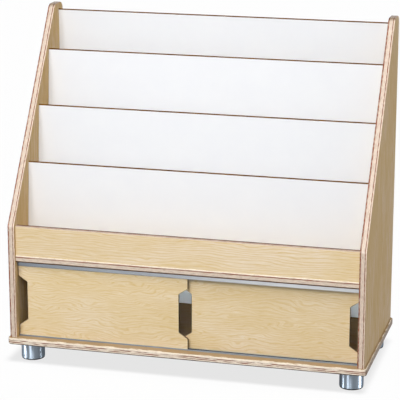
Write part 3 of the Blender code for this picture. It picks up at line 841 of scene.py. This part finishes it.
def make_feet():
    """The metal feet, with upright brush lines, and the glides let into them. Returns the feet alone."""
    stops = [(0.0, srgb(142, 154, 166)), (1.0, srgb(150, 162, 174))]
    grazing = (0.22, 0.24, 0.27, 1.0)
    black = rubber("glide_rubber_black")
    made = []
    for node in nodes_named("foot_front", "foot_rear"):
        place = node[len("foot_"):]
        glide = "foot_glide_" + place
        low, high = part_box(node)
        centre = (low + high) / 2
        radius = (high.x - low.x) / 2
        rim = low.z - FIT_GAP
        top = arc((radius - FOOT_EDGE, high.z - FOOT_EDGE), FOOT_EDGE, 90, 0)
        bottom = arc((radius - FOOT_EDGE, low.z + FOOT_EDGE), FOOT_EDGE, 0, -90)
        shape = turned([(0, high.z), *top, *bottom, (0, low.z)], centre)
        metal = brushed_metal("foot_metal_" + place, stops, Z, (low, high), roughness=(0.40, 0.46),
                              anisotropy=1.0, turn=0.25, grazing=grazing)
        made.append(piece(node, shape, [metal], seats=["foot_stud_" + place, glide]))
        low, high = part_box(glide)
        radius = (high.x - low.x) / 2
        spigot = [(0, high.z), (GLIDE_SPIGOT_RADIUS, high.z), (GLIDE_SPIGOT_RADIUS, rim)]
        under = arc((radius - GLIDE_EDGE, low.z + GLIDE_EDGE), GLIDE_EDGE, 0, -90)
        shape = turned([*spigot, (radius, rim), *under, (0, low.z)], centre)
        piece(glide, shape, [black])
    return made


def dress_fasteners():
    """The fasteners keep their CAD meshes. Only their materials are new."""
    steel = zinc("zinc_plate")
    beech = dowel_wood("dowel_beech_grain")
    for name in nodes_named("foot_stud_", "side_screw_", "top_track_screw_", "bottom_track_screw_"):
        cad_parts[name].data.materials[0] = steel
    for name in nodes_named("lip_dowel_", "lip_end_dowel_"):
        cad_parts[name].data.materials[0] = beech


def seen_directly(tree):
    """1 for rays that show the stage itself: straight to the camera, or by way of metal and glass."""
    path = tree.nodes.new("ShaderNodeLightPath")
    total = path.outputs["Is Camera Ray"]
    for output in ("Is Glossy Ray", "Is Transmission Ray"):
        largest = tree.nodes.new("ShaderNodeMath")
        largest.operation = "MAXIMUM"
        tree.links.new(total, largest.inputs[0])
        tree.links.new(path.outputs[output], largest.inputs[1])
        total = largest.outputs[0]
    return total


def make_world():
    """A weak dome of light, darker overhead, that shows as a white backdrop."""
    world = bpy.data.worlds.new("studio")
    world.use_nodes = True
    bpy.context.scene.world = world
    tree = world.node_tree
    background = tree.nodes["Background"]
    direction = tree.nodes.new("ShaderNodeSeparateXYZ")
    tree.links.new(tree.nodes.new("ShaderNodeTexCoord").outputs["Generated"], direction.inputs[0])
    dome = tree.nodes.new("ShaderNodeMix")
    dome.data_type = "RGBA"
    tree.links.new(direction.outputs[Z], dome.inputs[MIX_FACTOR])
    dome.inputs[MIX_FIRST].default_value = DOME_SIDE
    dome.inputs[MIX_SECOND].default_value = DOME_TOP
    seen = tree.nodes.new("ShaderNodeMix")
    seen.data_type = "RGBA"
    tree.links.new(seen_directly(tree), seen.inputs[MIX_FACTOR])
    tree.links.new(dome.outputs[MIX_RESULT], seen.inputs[MIX_FIRST])
    seen.inputs[MIX_SECOND].default_value = BACKDROP
    tree.links.new(seen.outputs[MIX_RESULT], background.inputs["Color"])


def make_floor():
    """A pale floor that shows as white, darker where the object shades it from the lamp overhead."""
    shape = bmesh.new()
    bmesh.ops.create_grid(shape, x_segments=1, y_segments=1, size=FLOOR_HALF)
    mesh = bpy.data.meshes.new("floor")
    shape.to_mesh(mesh)
    shape.free()
    floor = bpy.data.objects.new("floor", mesh)
    bpy.context.scene.collection.objects.link(floor)
    paint = Paint("pale_floor")
    tree = paint.tree
    plain = paint.add("BsdfDiffuse")
    plain.inputs["Color"].default_value = FLOOR_BOUNCE
    shaded = paint.add("BsdfDiffuse")
    shaded.inputs["Color"].default_value = FLOOR_SHOWN
    glow = paint.add("Emission")
    glow.inputs["Strength"].default_value = FLOOR_GLOW
    seen = paint.add("AddShader")
    tree.links.new(shaded.outputs[0], seen.inputs[0])
    tree.links.new(glow.outputs[0], seen.inputs[1])
    choice = paint.add("MixShader")
    tree.links.new(seen_directly(tree), choice.inputs[0])
    tree.links.new(plain.outputs[0], choice.inputs[1])
    tree.links.new(seen.outputs[0], choice.inputs[2])
    tree.links.new(choice.outputs[0], tree.nodes["Material Output"].inputs["Surface"])
    tree.nodes.remove(paint.surface)
    floor.data.materials.append(paint.material)
    return floor


def turn_towards(direction):
    """The turn of a lamp that shines in a direction."""
    return Vector(direction).to_track_quat("-Z", "Y").to_euler()


def area_light(name, place, target, width, height, watts):
    lamp = bpy.data.lights.new(name, "AREA")
    lamp.shape = "RECTANGLE"
    lamp.size = width
    lamp.size_y = height
    lamp.energy = watts
    obj = bpy.data.objects.new(name, lamp)
    obj.location = place
    obj.rotation_euler = turn_towards(Vector(target) - Vector(place))
    obj.visible_camera = False
    bpy.context.scene.collection.objects.link(obj)
    return obj


def linked(name, members, state="INCLUDE"):
    """A collection for light linking: its members alone, or all but them where the state is EXCLUDE."""
    group = bpy.data.collections.new(name)
    for member in members:
        group.objects.link(member)
    for entry in group.collection_objects:
        entry.light_linking.link_state = state
    return group


def soft_lamps():
    """The lamps that light the object. The large ones don't show in its gloss."""
    # place, target, width, height, watts
    lamps = {
        "softbox": ((-0.1, -3.40, 3.25), (0.0, 0.0, 0.4), 3.4, 2.2, 139.0),
        "softbox_left": ((-1.5, -3.25, 3.25), (0.0, -0.2, 0.14), 2.4, 2.2, 150.0),
        "high_front": ((0.0, -2.00, 5.00), (0.0, 0.0, 0.4), 3.6, 1.2, 75.0),
        "fill_back": ((0.0, 3.8, 0.95), (0.0, 0.0, 0.42), 2.6, 1.3, 60.0),
        "fill_right": ((3.3, 0.25, 1.1), (0.4, 0.0, 0.4), 1.6, 1.6, 15.5),
        "fill_left": ((-3.3, 0.25, 1.1), (-0.4, 0.0, 0.4), 1.6, 1.6, 13.5),
    }
    made = [area_light(name, *settings) for name, settings in lamps.items()]
    for lamp in made:
        lamp.visible_glossy = lamp.name in ("fill_right", "fill_left")
    return made


def reflected_lamps():
    """The lamps that only show in reflections."""
    highest_target = 1.75
    # place, width, height, watts
    lamps = {
        "strip_high": ((0.0, -3.72, 3.10), 2.6, 2.2, 162.0),
        "strip_left": ((-2.80, -1.25, 1.10), 0.40, 2.2, 150.0),
        "strip_front": ((-0.85, -3.10, 0.62), 0.80, 1.2, 50.0),
        "strip_right": ((2.98, 0.30, 1.10), 0.40, 2.2, 190.0),
        "strip_low": ((2.98, 0.10, 0.07), 0.50, 0.12, 16.0),
        "bend_glint": ((-1.00, -3.60, 1.75), 1.4, 1.0, 400.0),
    }
    made = []
    for name, (place, *settings) in lamps.items():
        lamp = area_light(name, place, (0.0, -0.1, min(place[Z], highest_target)), *settings)
        lamp.visible_diffuse = False
        made.append(lamp)
    return made


def cabinet_lamp():
    """A flat lamp behind the doors that shines straight back, on the board seen in the finger notches."""
    lamp = area_light("cabinet_fill", (0.0, -0.150, 0.143), (0.0, 0.168, 0.143), 0.872, 0.17, 0.182)
    lamp.data.color = (0.90, 1.0, 1.06)
    lamp.data.spread = math.radians(8)
    return lamp


def floor_lamp(floor, base):
    """A slanting lamp overhead that lights the floor alone.

    The base plate gives the shadow there, because everything else stands inside its outline.
    """
    lamp = bpy.data.lights.new("overhead", "SUN")
    lamp.energy = 10.8
    lamp.angle = math.radians(24)
    overhead = bpy.data.objects.new("overhead", lamp)
    overhead.rotation_euler = turn_towards((-0.15, 0.27, -1.0))
    bpy.context.scene.collection.objects.link(overhead)
    overhead.light_linking.receiver_collection = linked("the floor", [floor])
    overhead.light_linking.blocker_collection = linked("the base plate", [base])


def make_lights(floor, base, sides, doors, metal):
    """Lamps for the object, which leave the floor alone, and one overhead for the floor.

    The doors take their front light from further left than the rest, for the soft shadows at their ends. Of
    the reflected lamps, one is kept for the sides, whose bends catch it, and two on the right for the metal.
    """
    lamps = [*soft_lamps(), *reflected_lamps(), cabinet_lamp()]
    floor_lamp(floor, base)
    off_floor = linked("all but the floor", [floor], "EXCLUDE")
    on_metal = linked("the metal", metal)
    kept = {
        "softbox": linked("all but the floor and the doors", [floor, *doors], "EXCLUDE"),
        "softbox_left": linked("the doors", doors),
        "bend_glint": linked("the sides", sides),
        "strip_right": on_metal,
        "strip_low": on_metal,
    }
    for lamp in lamps:
        lamp.light_linking.receiver_collection = kept.get(lamp.name, off_floor)


def make_camera():
    lens = bpy.data.cameras.new("photo_camera")
    lens.lens = CAMERA_LENS
    lens.sensor_width = SENSOR
    camera = bpy.data.objects.new("photo_camera", lens)
    camera.location = CAMERA_PLACE
    camera.rotation_euler = CAMERA_TURN
    bpy.context.scene.collection.objects.link(camera)
    bpy.context.scene.camera = camera


make_camera()
make_world()
floor_piece = make_floor()
side_pieces = make_sides()
base_piece = make_base()
make_shelf()
make_lip()
make_boards()
make_ledges()
track_pieces = make_tracks()
door_pieces = make_doors()
foot_pieces = make_feet()
dress_fasteners()
make_lights(floor_piece, base_piece, side_pieces, door_pieces, track_pieces + foot_pieces)
bpy.context.scene.view_settings.view_transform = "Standard"
